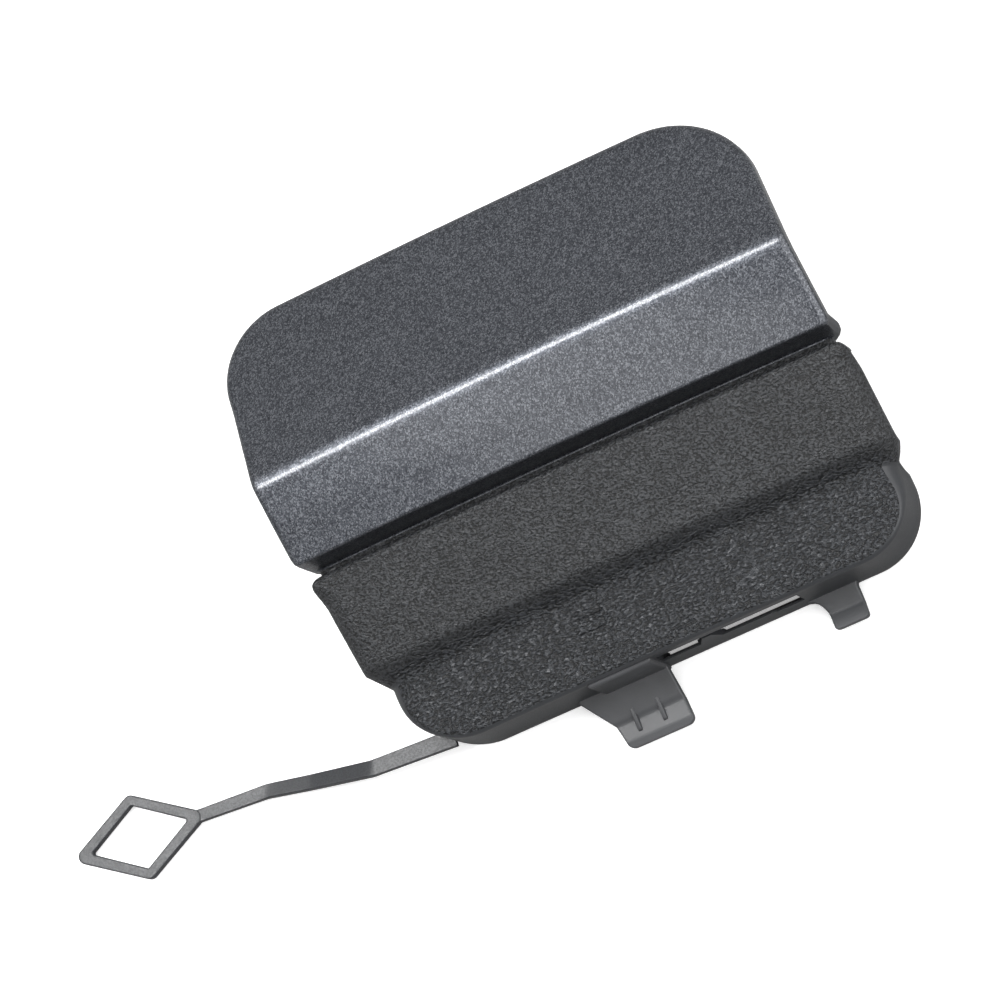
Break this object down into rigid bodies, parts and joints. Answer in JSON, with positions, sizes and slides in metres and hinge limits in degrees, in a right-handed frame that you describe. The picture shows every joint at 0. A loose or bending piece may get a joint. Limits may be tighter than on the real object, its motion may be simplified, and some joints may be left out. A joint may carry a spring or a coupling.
{
  "type": "bumper tow hook cover",
  "caption": "Moulded cover that clips over the tow eye opening in a car bumper, with a painted panel, two grained lower bands and a tether with an eye.",
  "frame": {"origin": "middle of the opening that the cover closes, in the plane of the lower skirt's rear rim", "axes": "+Z out of the bumper through the cover's face, +Y up towards the painted top edge, +X to the viewer's right"},
  "size_m": [0.1916, 0.1081, 0.0374],
  "materials": {
    "black_plastic": "grained",
    "grey_paint": "metallic paint with clear coat"
  },
  "bodies": {
    "root": {"cover": "black_plastic"}
  },
  "joints": []
}
